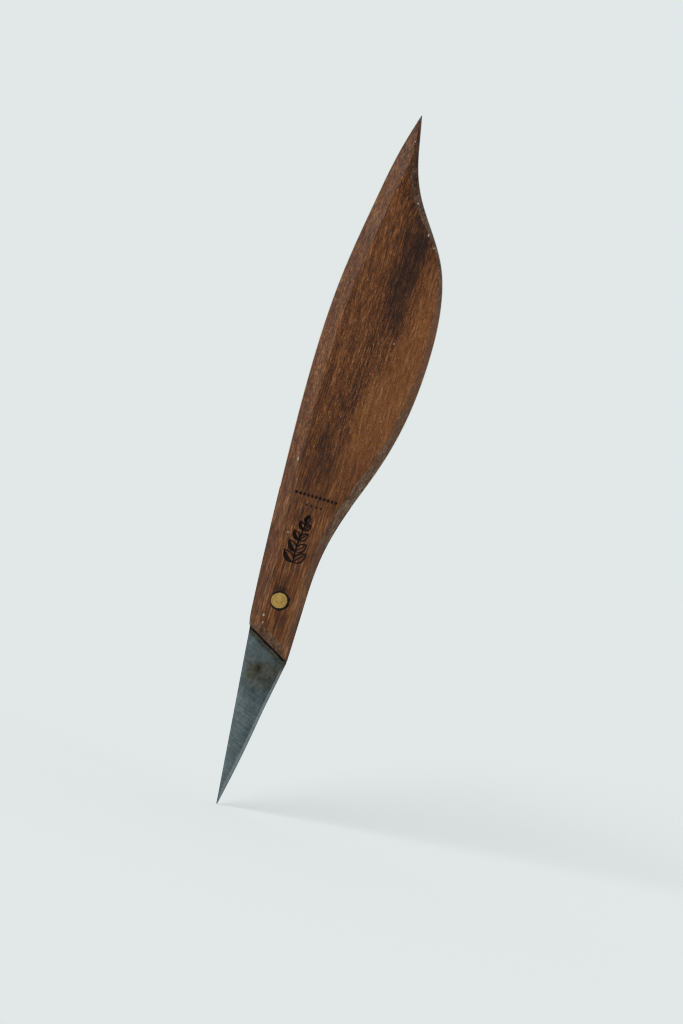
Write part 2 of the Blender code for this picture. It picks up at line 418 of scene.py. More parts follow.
def face_depth(x, z):
    """The front face's distance from the middle plane at a place on it."""
    low, high = 0.0, 1.0
    for _ in range(30):
        share = (low + high) / 2
        spine_x, spine_z, edge_x, edge_z, half, _ = station(share)
        height = spine_z + (edge_z - spine_z) * (x - spine_x) / (edge_x - spine_x)
        low, high = (share, high) if height < z else (low, share)
    return half


def new_object(name, made):
    """A new object from a finished bmesh."""
    mesh = bpy.data.meshes.new(name)
    made.to_mesh(mesh)
    made.free()
    thing = bpy.data.objects.new(name, mesh)
    bpy.context.scene.collection.objects.link(thing)
    return thing


def add_loft(made, rings, endless):
    """Adds a solid through rings of equally many points: capped, or closed on itself."""
    loops = [[made.verts.new(point) for point in ring] for ring in rings]
    following = loops[1:] + loops[:1] if endless else loops[1:]
    for lower, upper in zip(loops, following):
        for i in range(len(lower)):
            j = (i + 1) % len(lower)
            made.faces.new((lower[i], lower[j], upper[j], upper[i]))
    if not endless:
        made.faces.new(loops[0][::-1])
        made.faces.new(loops[-1])


def lofts(name, several, endless=False):
    """One object of closed solids, each lofted through its own rings."""
    made = bmesh.new()
    for rings in several:
        add_loft(made, rings, endless)
    bmesh.ops.recalc_face_normals(made, faces=made.faces)
    return new_object(name, made)


def cut(solid, shapes):
    """Cuts closed shapes out of a solid for good, and removes them."""
    for shape in shapes:
        modifier = solid.modifiers.new("cut", "BOOLEAN")
        modifier.operation = "DIFFERENCE"
        modifier.object = shape
    graph = bpy.context.evaluated_depsgraph_get()
    finished = bpy.data.meshes.new_from_object(solid.evaluated_get(graph))
    solid.modifiers.clear()
    solid.data = finished
    for shape in shapes:
        bpy.data.objects.remove(shape)


def slot_shape():
    """The box that the blade's slot is cut with. It runs out below the wood."""
    made = bmesh.new()
    bmesh.ops.create_cube(made, size=1)
    height = kerf_top - wood_end_edge / 2
    size = Vector((8 * palm_half_thickness, kerf_thickness, height))  # wider than the neck
    bmesh.ops.scale(made, vec=size, verts=made.verts)
    middle = Vector((0, 0, kerf_top - height / 2))
    bmesh.ops.translate(made, vec=middle, verts=made.verts)
    return new_object("slot_shape", made)


def pin_hole_shape():
    """The rod that the pin's hole is cut with."""
    made = bmesh.new()
    radius = pin_hole_diameter / 2
    length = 4 * palm_half_thickness  # it runs out of both faces
    bmesh.ops.create_cone(
        made, cap_ends=True, segments=pin_sides, radius1=radius, radius2=radius, depth=length
    )
    turn = Matrix.Rotation(math.pi / 2, 4, "X")
    bmesh.ops.transform(made, matrix=turn, verts=made.verts)
    middle = Vector((pin_x + pin_hole_shift[0], 0, pin_z + pin_hole_shift[1]))
    bmesh.ops.translate(made, vec=middle, verts=made.verts)
    return new_object("pin_hole_shape", made)


def shade_smooth(thing, angle_degrees):
    thing.data.shade_smooth()
    thing.data.set_sharp_from_angle(angle=math.radians(angle_degrees))


# ---- Materials ------------------------------------------------------------------------------


def range_node(nodes, kind, low, high, to_low, to_high):
    """A node that takes values from low to high over to values from to_low to to_high."""
    node = nodes.new("ShaderNodeMapRange")
    node.interpolation_type = kind
    node.inputs["From Min"].default_value = low
    node.inputs["From Max"].default_value = high
    node.inputs["To Min"].default_value = to_low
    node.inputs["To Max"].default_value = to_high
    return node


class Shader:
    """One material's node tree, with a short call for each kind of node."""

    def __init__(self, name):
        self.material = bpy.data.materials.new(name)
        self.material.use_nodes = True
        self.nodes = self.material.node_tree.nodes
        self.links = self.material.node_tree.links
        self.surface = self.nodes["Principled BSDF"]
        coordinates = self.nodes.new("ShaderNodeTexCoord")
        self.place = coordinates.outputs["Object"]
        self.x, self.y, self.z = self.split(self.place)
        self.normal = coordinates.outputs["Normal"]

    def plug(self, value, socket):
        """Links a node's output to a socket, or sets a plain value on it."""
        if isinstance(value, bpy.types.NodeSocket):
            self.links.new(value, socket)
        else:
            socket.default_value = value

    def split(self, vector):
        node = self.nodes.new("ShaderNodeSeparateXYZ")
        self.plug(vector, node.inputs[0])
        return node.outputs

    def calculation(self, kind, operation, values):
        node = self.nodes.new(kind)
        node.operation = operation
        for value, socket in zip(values, node.inputs):
            self.plug(value, socket)
        return node.outputs

    def math(self, operation, *values):
        return self.calculation("ShaderNodeMath", operation, values)[0]

    def vector(self, operation, *values):
        return self.calculation("ShaderNodeVectorMath", operation, values)["Vector"]

    def sized(self, size_x, size_y, size_z, place=None):
        """Coordinates in which a feature of these sizes in metres measures 1."""
        scale = (1 / size_x, 1 / size_y, 1 / size_z)
        return self.vector("MULTIPLY", place or self.place, scale)

    def turned(self, angle):
        """Coordinates turned about the Y axis."""
        node = self.nodes.new("ShaderNodeVectorRotate")
        node.rotation_type = "Y_AXIS"
        node.inputs["Angle"].default_value = angle
        self.plug(self.place, node.inputs["Vector"])
        return node.outputs[0]

    def noise(self, place, detail=2, roughness=0.5, output="Fac"):
        node = self.nodes.new("ShaderNodeTexNoise")
        node.inputs["Scale"].default_value = 1
        node.inputs["Detail"].default_value = detail
        node.inputs["Roughness"].default_value = roughness
        self.plug(place, node.inputs["Vector"])
        return node.outputs[output]

    def cells(self, place):
        """Distance to the nearest cell's point, and that cell's own random number."""
        node = self.nodes.new("ShaderNodeTexVoronoi")
        node.inputs["Scale"].default_value = 1
        self.plug(place, node.inputs["Vector"])
        return node.outputs["Distance"], self.split(node.outputs["Color"])[0]

    def step(self, value, low, high, to_low=0.0, to_high=1.0):
        """A smooth step from to_low, at low, to to_high, at high."""
        node = range_node(self.nodes, "SMOOTHSTEP", low, high, to_low, to_high)
        self.plug(value, node.inputs["Value"])
        return node.outputs["Result"]

    def profile(self, value, span, *points):
        """A smooth curve through (value, result) points, with both held between 0 and span."""
        node = self.nodes.new("ShaderNodeFloatCurve")
        curve = node.mapping.curves[0]
        while len(curve.points) < len(points):
            curve.points.new(0.5, 0.5)
        for point, (at, result) in zip(curve.points, points):
            point.location = (at / span, result / span)
        node.mapping.extend = "HORIZONTAL"
        node.mapping.update()
        self.plug(self.math("DIVIDE", value, span), node.inputs["Value"])
        return self.math("MULTIPLY", node.outputs["Value"], span)

    def ramp(self, factor, *stops):
        """A colour ramp through (position, colour) stops."""
        node = self.nodes.new("ShaderNodeValToRGB")
        elements = node.color_ramp.elements
        while len(elements) < len(stops):
            elements.new(0.5)
        for element, (position, color) in zip(elements, stops):
            element.position = position
            element.color = (*color, 1)
        self.plug(factor, node.inputs[0])
        return node.outputs["Color"]

    def mix(self, factor, first, second):
        """The first colour, and as much as factor of the second."""
        node = self.nodes.new("ShaderNodeMix")
        node.data_type = "RGBA"
        self.plug(factor, node.inputs["Factor"])
        for color, socket in ((first, "A"), (second, "B")):
            self.plug((*color, 1) if isinstance(color, tuple) else color, node.inputs[socket])
        return node.outputs["Result"]

    def sized_noise(self, size, reach):
        """A small random offset, for making outlines uneven."""
        cloudy = self.noise(self.sized(size, size, size), output="Color")
        centred = self.vector("SUBTRACT", cloudy, (0.5, 0.5, 0.5))
        return self.vector("MULTIPLY", centred, (reach, reach, reach))

    def blob(self, x, z, size_x, size_z, place=None):
        """1 at a place on the tool's front, fading to 0 over the sizes given."""
        away = self.vector("SUBTRACT", place or self.place, (x, 0, z))
        flat = self.vector("MULTIPLY", away, (1 / size_x, 0, 1 / size_z))
        length = self.calculation("ShaderNodeVectorMath", "LENGTH", [flat])["Value"]
        return self.step(length, 0.0, 1.0, 1.0, 0.0)

    def mixed(self, *fields):
        """The sum of noises, each taken about its middle and scaled."""
        total = 0.0
        for field, amount in fields:
            total = self.math("MULTIPLY_ADD", self.math("SUBTRACT", field, 0.5), amount, total)
        return total

    def bump(self, height, distance, strength=1.0):
        node = self.nodes.new("ShaderNodeBump")
        node.inputs["Distance"].default_value = distance
        node.inputs["Strength"].default_value = strength
        self.plug(height, node.inputs["Height"])
        self.links.new(node.outputs["Normal"], self.surface.inputs["Normal"])

    def finish(self, **values):
        """Sets the surface's named inputs and gives back the material."""
        for name, value in values.items():
            self.plug(value, self.surface.inputs[name.replace("_", " ")])
        return self.material


def wandering(s):
    """The tool's coordinates, bent so that the wood's fibres wander a little."""
    slow = s.noise(s.sized(0.03, 0.03, 0.09), detail=1)
    shift = s.math("MULTIPLY", s.math("SUBTRACT", slow, 0.5), 0.003)
    join = s.nodes.new("ShaderNodeCombineXYZ")
    for value, socket in zip((s.math("ADD", s.x, shift), s.y, s.z), join.inputs):
        s.plug(value, socket)
    return join.outputs[0]


def heart_and_pale(s, grain, z_mm):
    """How much there is of the dark heart, and of the paler wood beside it."""
    x_mm = s.math("MULTIPLY", s.split(grain)[0], 1000)
    ragged = s.noise(s.sized(0.0012, 0.0012, 0.009, grain), detail=3)
    wobbled = s.math("ADD", x_mm, s.math("MULTIPLY", s.math("SUBTRACT", ragged, 0.5), 4.2))
    heart_line = s.profile(z_mm, profile_span, *heart_line_mm)
    from_heart = s.math("SUBTRACT", s.math("ADD", wobbled, profile_offset), heart_line)
    heart = s.math("MULTIPLY", s.step(from_heart, -7.5, -0.5), s.step(from_heart, 1.5, 5.5, 1, 0))
    core = s.step(s.math("ABSOLUTE", from_heart), 0.4, 2.8, 1.2, 0.8)
    pale_line = s.profile(z_mm, profile_span, *pale_line_mm)
    from_pale = s.math("SUBTRACT", wobbled, pale_line)
    pale = s.math("MULTIPLY", s.step(from_pale, -1.2, 2.2), s.step(z_mm, 88, 110))
    pale = s.math("MULTIPLY", pale, s.step(z_mm, 156, 168, 1, 0))
    return s.math("MULTIPLY", heart, core), pale


def fine_grain(s, grain, z_mm, fibre):
    """Short fibres and flecks, and long threads, which are stronger near both ends."""
    thread = s.noise(s.sized(0.00036, 0.00036, 0.008, grain), detail=2, roughness=0.6)
    strand = s.noise(s.sized(0.0002, 0.0002, 0.006, grain), detail=1)
    fleck = s.noise(s.sized(0.0002, 0.0002, 0.0005, grain), detail=1)
    ends = s.math("MAXIMUM", s.step(z_mm, 108, 84), s.step(z_mm, 148, 168))
    short = s.mixed((fibre, 1.55), (fleck, 1.05))
    short = s.math("MULTIPLY", short, s.math("MULTIPLY_ADD", ends, -0.62, 1.0))
    long = s.mixed((thread, 0.62), (strand, 0.55))
    long = s.math("MULTIPLY", long, s.math("MULTIPLY_ADD", ends, 0.7, 1.0))
    return s.math("ADD", short, long)


def wood_tone(s, grain, z_mm, fibre, mottle):
    """How pale the wood is: its heart, streaks and spots, and a painted highlight on the ridge beside
    the spine chamfer.
    """
    heart, pale = heart_and_pale(s, grain, z_mm)
    heart_tone = s.math("DIVIDE", s.profile(z_mm, profile_span, *heart_depth), -profile_span)
    tone = s.math("MULTIPLY_ADD", heart, heart_tone, 0.49)
    tone = s.math("MULTIPLY_ADD", pale, 0.135, tone)
    band = s.noise(s.sized(0.0024, 0.0024, 0.06, grain), detail=2)
    streak = s.noise(s.sized(0.0009, 0.0009, 0.018, grain), detail=3)
    broad = s.mixed((band, 0.32), (streak, 0.4), (mottle, 0.22))
    tone = s.math("MULTIPLY_ADD", broad, s.math("MULTIPLY_ADD", pale, -0.6, 1.0), tone)
    fine = fine_grain(s, grain, z_mm, fibre)
    fine = s.math("MULTIPLY", fine, s.math("MULTIPLY_ADD", heart, 0.2, 1.0))
    tone = s.math("MULTIPLY_ADD", fine, s.math("MULTIPLY_ADD", pale, -0.34, 1.0), tone)
    lines = s.step(streak, 0.56, 0.68)
    tone = s.math("MULTIPLY_ADD", s.math("MULTIPLY", lines, heart), -0.17, tone)
    # Spots of the wood's tone, among them painted shade on the end facet and painted highlights on the
    # chamfers
    for x, z, size_x, size_z, amount in tone_and_painted_light_spots:
        spot = s.blob(x * MM, z * MM, size_x * MM, size_z * MM)
        tone = s.math("MULTIPLY_ADD", spot, amount, tone)
    # Painted highlight: the ridge that turns towards the spine side, the lit side, is lighter
    facing = s.split(s.normal)[0]
    spine_ridge_highlight = s.math("MULTIPLY", s.step(facing, -0.08, -0.2), s.step(facing, -0.46, -0.3))
    return s.math("MULTIPLY_ADD", spine_ridge_highlight, 0.05, tone)


def end_grain(s, color, z_mm):
    """Where a side runs across the fibres, their cut ends show grey and rough; a painted highlight lies
    on the tail's edge chamfer.
    """
    slanting = s.vector("ADD", s.place, s.sized_noise(0.003, 0.0012))
    facing_x, _, facing_z = s.split(s.normal)
    sides = s.math("MULTIPLY", s.math("ABSOLUTE", facing_x), s.math("ABSOLUTE", facing_z))
    patch = s.noise(s.sized(0.0016, 0.0016, 0.005, slanting), detail=3, roughness=0.65)
    sides = s.math("MULTIPLY_ADD", s.math("SUBTRACT", patch, 0.5), 0.2, sides)
    sides = s.step(sides, 0.02, 0.19)
    speckle = s.noise(s.sized(0.0003, 0.0003, 0.0011, slanting), detail=3, roughness=0.8)
    # Lighter end grain on the shoulder below 108 mm, and a painted highlight on the tail's edge chamfer
    # at 172 mm
    lighter_and_highlight = s.math("MAXIMUM", s.step(z_mm, 108, 98), s.blob(0.008, 0.172, 0.004, 0.007))
    level = s.math("ADD", s.step(lighter_and_highlight, 0, 1, 0.5, 0.54), s.step(z_mm, 175, 182, 0, -0.12))
    end_color = s.ramp(
        s.math("ADD", s.mixed((patch, 0.55), (speckle, 1.35)), level),
        (0.3, (0.024, 0.0105, 0.0055)),
        (0.5, (0.105, 0.055, 0.032)),
        (0.72, (0.31, 0.21, 0.145)),
    )
    color = s.mix(s.math("MULTIPLY", sides, 0.75), color, end_color)
    blots = s.noise(s.sized(0.0011, 0.0011, 0.0035, slanting), detail=3, roughness=0.7)
    grime = s.math("MULTIPLY", s.step(blots, 0.5, 0.66), s.step(sides, 0.2, 0.7))
    worst = s.math("MAXIMUM", s.step(z_mm, 104, 118), 0.3)
    grime = s.math("MULTIPLY", grime, worst)
    color = s.mix(s.math("MULTIPLY", grime, 0.6), color, (0.02, 0.0125, 0.01))
    return color, sides, patch, speckle


def sanded_and_shaded_facet(s, color, z_mm, patch):
    """Short pale scratches on the end facets, along their upper edge, over a darker tone that is
    painted shade, as the facets face down.
    """
    across_grain = s.math("ABSOLUTE", s.split(s.normal)[2])
    facet = s.math("MULTIPLY", s.step(across_grain, 0.3, 0.42), s.step(z_mm, 56, 54))
    along = s.turned(math.atan(end_slope))
    scratch = s.noise(s.sized(0.0025, 0.001, 0.00016, along), detail=3, roughness=0.7)
    # Painted shade: these colours are darker than the wood's, as the facets face down
    sanded_and_shaded = s.ramp(
        s.math("MULTIPLY_ADD", s.math("SUBTRACT", patch, 0.5), 0.9, scratch),
        (0.35, (0.02, 0.0085, 0.0045)),
        (0.5, (0.046, 0.019, 0.0095)),
        (0.72, (0.125, 0.07, 0.043)),
    )
    return s.mix(s.math("MULTIPLY", facet, 0.38), color, sanded_and_shaded), facet


def dusted(s, color):
    """Light specks with uneven outlines, on the front only."""
    wavy = s.vector("ADD", s.place, s.sized_noise(0.0003, 0.0004))
    front = s.step(s.y, 0.0005, -0.0005, 0, 0.6)
    for x, z, size_x, size_z in dust_specks:
        near = s.blob(x * MM, z * MM, size_x * MM, size_z * MM, wavy)
        dust = s.math("MULTIPLY", s.step(near, 0.3, 0.8), front)
        color = s.mix(dust, color, (0.6, 0.54, 0.48))
    return color


def walnut():
    s = Shader("oiled_walnut")
    z_mm = s.math("MULTIPLY", s.z, 1000)
    grain = wandering(s)
    fibre = s.noise(s.sized(0.00018, 0.00018, 0.0018, grain), detail=2, roughness=0.65)
    mottle = s.noise(s.sized(0.0014, 0.0014, 0.0024), detail=4, roughness=0.75)
    color = s.ramp(
        wood_tone(s, grain, z_mm, fibre, mottle),
        (0.0, (0.013, 0.004, 0.0016)),
        (0.25, (0.042, 0.0125, 0.0035)),
        (0.5, (0.098, 0.0305, 0.0068)),
        (0.7, (0.168, 0.06, 0.0155)),
        (1.0, (0.32, 0.155, 0.065)),
    )
    distance, luck = s.cells(s.sized(0.00032, 0.00032, 0.0022, grain))
    pores = s.math("MULTIPLY", s.step(distance, 0.1, 0.3, 1, 0), s.step(luck, 0.4, 0.6))
    color = s.mix(s.math("MULTIPLY", pores, 0.65), color, (0.011, 0.004, 0.002))
    color, sides, patch, speckle = end_grain(s, color, z_mm)
    color, facet = sanded_and_shaded_facet(s, color, z_mm, patch)
    color = dusted(s, color)
    height = s.math("SUBTRACT", s.math("MULTIPLY", fibre, 0.6), pores)
    height = s.math("ADD", height, s.math("MULTIPLY", s.math("MULTIPLY", speckle, sides), 1.8))
    s.bump(height, 0.00006, 0.8)
    s.surface.inputs["IOR"].default_value = 1.45
    gloss = s.math("MULTIPLY_ADD", s.math("MAXIMUM", facet, sides), -0.16, 0.3)
    gloss = s.math("MULTIPLY", gloss, s.step(z_mm, 162, 180, 1, 0.62))
    rough = s.math("MULTIPLY_ADD", mottle, 0.16, 0.31)
    return s.finish(Base_Color=color, Roughness=rough, Specular_IOR_Level=gloss)


def stained(s, color, z_mm, from_spine, cloud, patch):
    """An olive stain below the wood, with a dark core and a trail to its right."""
    veil = s.math("MULTIPLY", s.step(z_mm, 32, 37), s.step(z_mm, 38.5, 44, 1, 0.05))
    veil = s.math("MULTIPLY", veil, s.step(patch, 0.25, 0.6, 0.45, 1.0))
    veil = s.math("MULTIPLY", veil, s.step(from_spine, 0.0007, 0.002, 0.35, 1.0))
    olive = s.ramp(cloud, (0.3, (0.045, 0.039, 0.025)), (0.7, (0.155, 0.144, 0.107)))
    color = s.mix(s.math("MULTIPLY", veil, 0.92), color, olive)
    core = s.math("MULTIPLY", s.blob(0.0003, 0.0395, 0.0019, 0.0028), s.step(cloud, 0.3, 0.55))
    trail = s.math("MULTIPLY", s.blob(0.0032, 0.0368, 0.0034, 0.0012), s.step(cloud, 0.3, 0.6))
    core = s.math("MAXIMUM", core, s.math("MULTIPLY", trail, 0.6))
    return s.mix(s.math("MULTIPLY", core, 0.95), color, (0.022, 0.018, 0.01))


def filmed_and_shaded(s, color, cloud):
    """A smear of adhesive just under the wood's slanting end, darkened as painted shadow from the wood
    above it.
    """
    under = s.math("MULTIPLY_ADD", s.x, end_slope, wood_end_spine - end_slope * spine_end_x)
    below = s.math("SUBTRACT", under, s.z)
    below = s.math("ADD", below, s.math("MULTIPLY", s.math("SUBTRACT", cloud, 0.5), 0.0014))
    smear = s.step(below, 0.0018, 0.0026, 1, 0)
    along = s.turned(math.atan(end_slope))
    dragged = s.noise(s.sized(0.003, 0.001, 0.00022, along), detail=2, roughness=0.6)
    # Adhesive film and painted shadow: a dark olive strip under the wood's end
    film_and_shadow = s.ramp(
        s.math("ADD", cloud, s.math("SUBTRACT", dragged, 0.5)),
        (0.3, (0.024, 0.022, 0.015)),
        (0.7, (0.115, 0.11, 0.08)),
    )
    return s.mix(s.math("MULTIPLY", smear, 0.88), color, film_and_shadow)


def ground_steel():
    s = Shader("ground_steel")
    along = s.turned(math.radians(-19))
    ground = s.noise(s.sized(0.007, 0.001, 0.00014, along), detail=3, roughness=0.7)
    coarse = s.noise(s.sized(0.012, 0.001, 0.0006, along), detail=2)
    up = s.noise(s.sized(0.0002, 0.001, 0.012), detail=2)
    cloud = s.noise(s.sized(0.001, 0.001, 0.0014), detail=4, roughness=0.7)
    patch = s.noise(s.sized(0.0035, 0.0035, 0.005), detail=2)
    z_mm = s.math("MULTIPLY", s.z, 1000)
    from_spine = s.math("MULTIPLY_ADD", s.z, spine_slope, s.x)
    # Painted reflection: the steel is lighter towards the spine and towards the point
    tone = s.math("MULTIPLY_ADD", from_spine, -32, s.step(z_mm, 44, 28, 0.52, 0.57))
    scored = s.step(z_mm, 40, 28, 0.5, 1.1)
    tone = s.math("ADD", tone, s.math("MULTIPLY", s.math("SUBTRACT", ground, 0.5), scored))
    tone = s.math("ADD", tone, s.mixed((coarse, 0.35), (up, 0.16), (cloud, 0.7), (patch, 0.5)))
    color = s.ramp(
        tone,
        (0.1, (0.043, 0.053, 0.057)),
        (0.5, (0.125, 0.157, 0.166)),
        (0.9, (0.27, 0.33, 0.345)),
    )
    color = stained(s, color, z_mm, from_spine, cloud, patch)
    color = filmed_and_shaded(s, color, cloud)

    # The bevel of the cutting edge is brighter: a painted reflection of the bright room on its right
    bevel = s.step(s.math("ABSOLUTE", s.split(s.normal)[0]), 0.2, 0.35)
    bevel_reflection = s.ramp(ground, (0.3, (0.15, 0.18, 0.185)), (0.7, (0.32, 0.36, 0.37)))
    right = s.math("MULTIPLY", s.step(s.x, 0.0, 0.0004), s.step(z_mm, 41.5, 39, 0, 0.75))
    color = s.mix(s.math("MULTIPLY", bevel, right), color, bevel_reflection)
    s.bump(s.math("ADD", ground, s.math("MULTIPLY", coarse, 0.6)), 0.00002, 0.6)
    roughness = s.math("MULTIPLY_ADD", cloud, 0.2, 0.3)
    return s.finish(Base_Color=color, Roughness=roughness, Metallic=1.0)


def filed_brass():
    s = Shader("filed_brass")
    along = s.turned(math.radians(62))
    file_marks = s.noise(s.sized(0.0022, 0.001, 0.00012, along), detail=3, roughness=0.7)
    cloud = s.noise(s.sized(0.0005, 0.0005, 0.0005), detail=3, roughness=0.7)
    tone = s.math("ADD", s.math("MULTIPLY", file_marks, 0.5), s.math("MULTIPLY", cloud, 0.5))
    color = s.ramp(
        tone,
        (0.3, (0.2, 0.115, 0.028)),
        (0.5, (0.45, 0.275, 0.083)),
        (0.7, (0.76, 0.53, 0.2)),
    )
    s.bump(file_marks, 0.00002, 0.7)
    roughness = s.math("MULTIPLY_ADD", cloud, 0.25, 0.35)
    return s.finish(Base_Color=color, Roughness=roughness, Metallic=1.0)


def dark_adhesive():
    s = Shader("dark_adhesive")
    lumps = s.noise(s.sized(0.0009, 0.0009, 0.0009), detail=3, roughness=0.6)
    color = s.ramp(lumps, (0.35, (0.002, 0.002, 0.002)), (0.7, (0.008, 0.007, 0.006)))
    s.bump(lumps, 0.00008, 0.7)
    s.surface.inputs["Specular IOR Level"].default_value = 0.08
    roughness = s.math("MULTIPLY_ADD", lumps, 0.3, 0.45)
    return s.finish(Base_Color=color, Roughness=roughness)


def burned_wood():
    s = Shader("burned_wood")
    char = s.noise(s.sized(0.0005, 0.0005, 0.0008), detail=4, roughness=0.7)
    color = s.ramp(char, (0.35, (0.003, 0.002, 0.0015)), (0.75, (0.016, 0.008, 0.005)))
    s.bump(char, 0.00005, 0.8)
    s.surface.inputs["Specular IOR Level"].default_value = 0.1
    return s.finish(Base_Color=color, Roughness=s.math("MULTIPLY_ADD", char, 0.2, 0.65))


# ---- Pieces ---------------------------------------------------------------------------------


def dress(thing, material):
    """A new piece's material and CAD body."""
    thing.data.materials.clear()
    thing.data.materials.append(material)
    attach(thing, "root")


def make_handle(material):
    """The finished handle, with the slot and the pin's hole cut into it."""
    run = (overall_length - wood_end_spine + overall_length - wood_end_edge) / 2
    near_end = [rim_radius * share / run for share in rim_shares]
    facet = np.linspace(facet_start / run, facet_top / run, facet_stations, endpoint=False)
    shares = [*near_end, *facet, *np.linspace(facet_top / run, 1, handle_stations)]
    handle = lofts("walnut_handle", [[handle_section(share) for share in shares]])
    cut(handle, [slot_shape(), pin_hole_shape()])
    shade_smooth(handle, 32)
    dress(handle, material)
    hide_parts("handle")


def on_face(x_mm, z_mm, lift):
    """A point over the front face; lift is how far it stands out of the wood."""
    x, z = x_mm * MM, z_mm * MM
    return Vector((x, -face_depth(x, z) - lift, z))


def stroke(points, widths):
    """Rings of a thin burned line along points on the front face, in millimetres."""
    rings = []
    for i, point in enumerate(points):
        ahead = points[min(i + 1, len(points) - 1)]
        behind = points[max(i - 1, 0)]
        run = Vector((ahead[0] - behind[0], ahead[1] - behind[1])).normalized()
        out_x, out_z = -run.y * widths[i] / 2, run.x * widths[i] / 2
        x, z = point
        rings.append(
            [
                on_face(x + out_x, z + out_z, mark_proud),
                on_face(x - out_x, z - out_z, mark_proud),
                on_face(x - out_x, z - out_z, -mark_sunk),
                on_face(x + out_x, z + out_z, -mark_sunk),
            ]
        )
    return rings


def along_stem(share):
    """A point on the stem, and the stem's direction there."""
    place = share * (len(stem_mm) - 1)
    i = min(int(place), len(stem_mm) - 2)
    start, end = Vector(stem_mm[i]), Vector(stem_mm[i + 1])
    return start.lerp(end, place - i), (end - start).normalized()


def uneven(width, count, chance):
    """Widths along a line whose ends taper and whose middle is a little uneven."""
    middle = [min(1, 0.35 + 3.2 * min(i, count - 1 - i) / count) for i in range(count)]
    return [width * share * chance.uniform(0.82, 1.18) for share in middle]


def leaf(base, direction, length, filled, chance):
    """Rings of a pointed leaf: two edges that meet at its tip, and a midrib or a filling."""
    side = Vector((-direction.y, direction.x))
    steps = 11
    found = []
    bulges = [-1, 1, 0.33, 0.66] if filled else [-1, 1, 0.04]
    for bulge in bulges:
        points = []
        for i in range(steps):
            share = i / (steps - 1)
            out = bulge * leaf_share * length * math.sin(math.pi * share**0.85)
            points.append(base + direction * length * share + side * out)
        width = line_width_mm * (0.8 if abs(bulge) < 1 else 1)
        width *= 1.9 if filled and 0 < bulge < 1 else 1
        found.append(stroke(points, uneven(width, steps, chance)))
    return found


def make_mark(material):
    """A generic leaf sprig under two rows of small diamonds."""
    chance = random.Random(4)
    several = []
    stem = [along_stem(i / 16)[0] for i in range(17)]
    several.append(stroke(stem, uneven(line_width_mm * 1.2, 17, chance)))
    for i in range(leaf_pairs):
        base, run = along_stem(0.1 + 0.72 * i / (leaf_pairs - 1))
        length = leaf_length_mm * (1 - 0.13 * i)
        for side in (-1, 1):
            turn = Matrix.Rotation(side * math.radians(46 - 3 * i), 2)
            several += leaf(base, turn @ run, length, side > 0, chance)
    tip, run = along_stem(0.96)
    several += leaf(tip, run, leaf_length_mm * 0.62, True, chance)
    for low, high, z, count, size in diamond_rows_mm:
        for i in range(count):
            x = low + (high - low) * i / (count - 1)
            points = [(x - size / 2, z), (x, z), (x + size / 2, z)]
            several.append(stroke(points, (0.06, size * 1.25, 0.06)))
    mark = lofts("burned_sprig", several)
    dress(mark, material)


def bead_rings(side, chance):
    """A quarter-round bead under the wood's sawn end, along one face of the blade."""
    rings = []
    start = blade_half_thickness - bead_sunk
    for share in np.linspace(0, 1, bead_stations):
        x = spine_end_x + bead_inset + bead_run * share
        z = wood_end_spine + end_slope * (x - spine_end_x)
        radius = bead_radius * min(1, 0.35 + 8 * min(share, 1 - share))
        radius *= 0.94 + 0.16 * wander(x, (5.1 * MM, 1.9 * MM), 2.0 + side)
        radius *= chance.uniform(0.97, 1.03)
        ring = []
        for angle in np.linspace(0, math.pi / 2, 9):
            out = start + radius * math.sin(angle)
            ring.append(Vector((x, side * out, z - radius * math.cos(angle))))
        ring.append(Vector((x, side * (start + radius), z + bead_lap)))
        ring.append(Vector((x, side * start, z + bead_lap)))
        rings.append(ring)
    return rings


def squared(part):
    """A circle's sine or cosine, pushed outwards so that the circle becomes squarish."""
    return math.copysign(abs(part) ** 0.45, part)


def spine_shade_rings():
    """A dark drop down the blade's spine below the wood's corner: painted shade, for the shadow of the
    gap there.
    """
    rings = []
    for share in np.linspace(0, 1, 14):
        z = wood_end_spine - 0.05 * MM - spine_shade_length * share
        full = max(1 - share**2.2, 0.02) ** 0.5
        middle = 0.2 * MM - spine_slope * z
        thick = (blade_half_thickness + spine_shade_cover) * full**0.3
        ring = []
        for angle in np.linspace(0, math.tau, 20, endpoint=False):
            x = middle + spine_shade_width * full * squared(math.cos(angle))
            ring.append(Vector((x, thick * squared(math.sin(angle)), z)))
        rings.append(ring)
    return rings


def make_bead(name, side, material):
    """Adhesive squeezed out between the blade and the wood's sawn end."""
    several = [bead_rings(side, random.Random(11 if side < 0 else 12))]
    # On the front, a dark drop down the spine as painted shade
    if side < 0:
        several.append(spine_shade_rings())
    bead = lofts(name, several)
    shade_smooth(bead, 40)
    dress(bead, material)


def around_pin(radius, angle, depth):
    """A point at a distance and angle about the pin's axis."""
    return Vector((pin_x + radius * math.cos(angle), depth, pin_z + radius * math.sin(angle)))


def make_pin(material):
    """The brass rod: its two ends are filed almost flat, and their rims rounded."""
    face = neck_half_thickness - pin_recess
    radius = pin_diameter / 2
    dome = 0.4 * pin_rounding
    profile = []
    for angle in np.linspace(0, math.pi / 2, 9):
        inward = pin_rounding * (1 - math.cos(angle))
        profile.append((radius - inward, face - dome - pin_rounding * (1 - math.sin(angle))))
    for share in (0.8, 0.6, 0.4, 0.2, 0.05):
        profile.append((radius * share, face - dome * share**2))
    rings = []
    for r, depth in [(r, -depth) for r, depth in profile[::-1]] + profile:
        turns = np.linspace(0, math.tau, pin_sides, endpoint=False)
        rings.append([around_pin(r, turn, depth) for turn in turns])
    pin = lofts("filed_pin", [rings])
    shade_smooth(pin, 40)
    dress(pin, material)
    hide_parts("rivet_pin")


